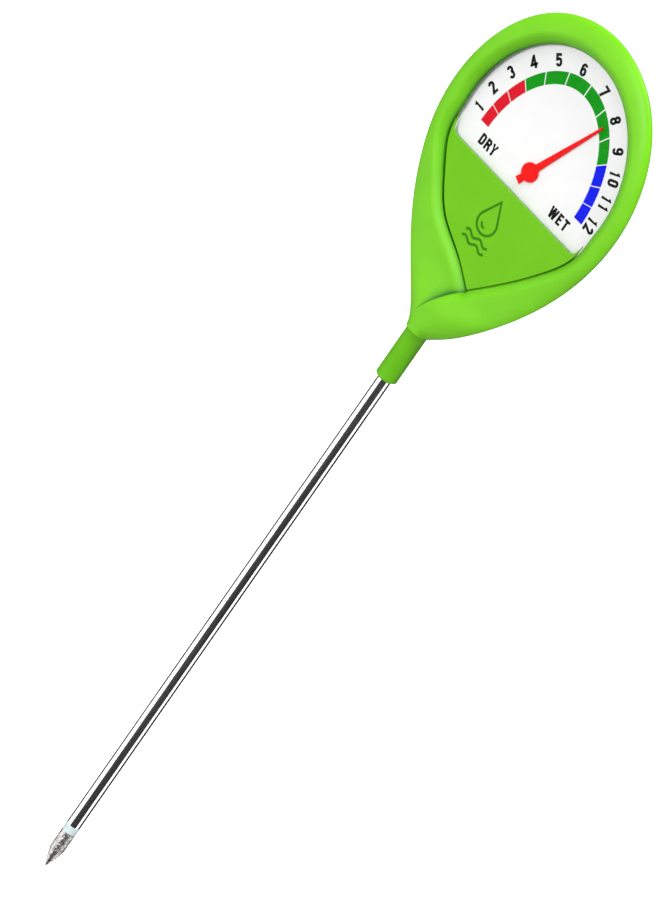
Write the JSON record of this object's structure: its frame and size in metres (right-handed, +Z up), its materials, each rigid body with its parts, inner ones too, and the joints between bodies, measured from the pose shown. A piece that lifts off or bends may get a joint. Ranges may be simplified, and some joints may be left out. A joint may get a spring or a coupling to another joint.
{
  "type": "soil moisture sensor",
  "caption": "Analog soil moisture sensor: drop-shaped green head with a window, scale and red pointer, on a slim steel probe with an insulated pointed tip.",
  "frame": {"origin": "on the probe's axis, at the lower end of the neck sleeve where the bare tube starts", "axes": "+Z up along the probe towards the head, -Y the way the dial faces, +X to the right seen from the front"},
  "size_m": [0.0678, 0.0174, 0.286],
  "materials": {
    "green_shell": "smooth moulded lime-green ABS, soft satin gloss",
    "green_panel": "moulded lime-green ABS with a very fine texture, darker engraved emblem",
    "green_sleeve": "matte lime-green plastic, slightly darker than the shells",
    "clear_lens": "clear thin acrylic window",
    "dial_white": "white card with a printed red, green and blue scale band and black numerals",
    "frame_black": "black moulded dial carrier",
    "screw_steel": "zinc-plated self-tapping screws",
    "pointer_red": "thin bright red lacquered pointer",
    "staff_steel": "ground and polished steel",
    "brass": "turned brass",
    "spring_bronze": "phosphor bronze strip",
    "magnet_grey": "pressed ferrite, dark grey",
    "bobbin_nylon": "natural nylon moulding",
    "enamelled_copper": "enamelled copper wire laid in tight turns",
    "can_steel": "drawn soft-iron can, plated",
    "stainless_tube": "polished stainless tube with fine lengthwise drawing marks",
    "insulator_aqua": "pale aqua-white moulded insulator",
    "tip_zinc": "rough grey turned zinc alloy, dark at its point",
    "tinned_contact": "tinned brass strip",
    "lead_red": "red PVC insulation",
    "lead_black": "black PVC insulation"
  },
  "bodies": {
    "housing": {"front_bezel": "green_shell", "rear_cover": "green_shell", "face_panel": "green_panel", "neck_sleeve": "green_sleeve", "window_lens": "clear_lens", "dial_card": "dial_white", "movement_frame": "frame_black", "frame_screws": "screw_steel", "movement_screws": "screw_steel", "hairspring_stud": "brass", "bobbin_front": "bobbin_nylon", "bobbin_rear": "bobbin_nylon", "front_bearing": "brass", "rear_bearing": "brass", "coil_winding": "enamelled_copper", "shield_can": "can_steel", "terminal_pins": "brass", "probe_tube": "stainless_tube", "insulator_ring": "insulator_aqua", "tip_electrode": "tip_zinc", "tube_contact": "tinned_contact", "tip_lead": "lead_red", "tube_lead": "lead_black"},
    "pointer_assembly": {"pointer": "pointer_red", "pivot_staff": "staff_steel", "spring_collet": "brass", "hairspring": "spring_bronze", "rotor_magnet": "magnet_grey"}
  },
  "joints": [
    {"name": "pointer_swing", "type": "hinge", "parent": "housing", "child": "pointer_assembly", "pos_m": [0, 0.0005, 0.0707], "axis": [0, 1, 0], "range_deg": [-113.5, 66.5], "stiffness_Nm_per_rad": 0.000001, "springref_deg": -113.5, "deforming": ["hairspring"]}
  ]
}
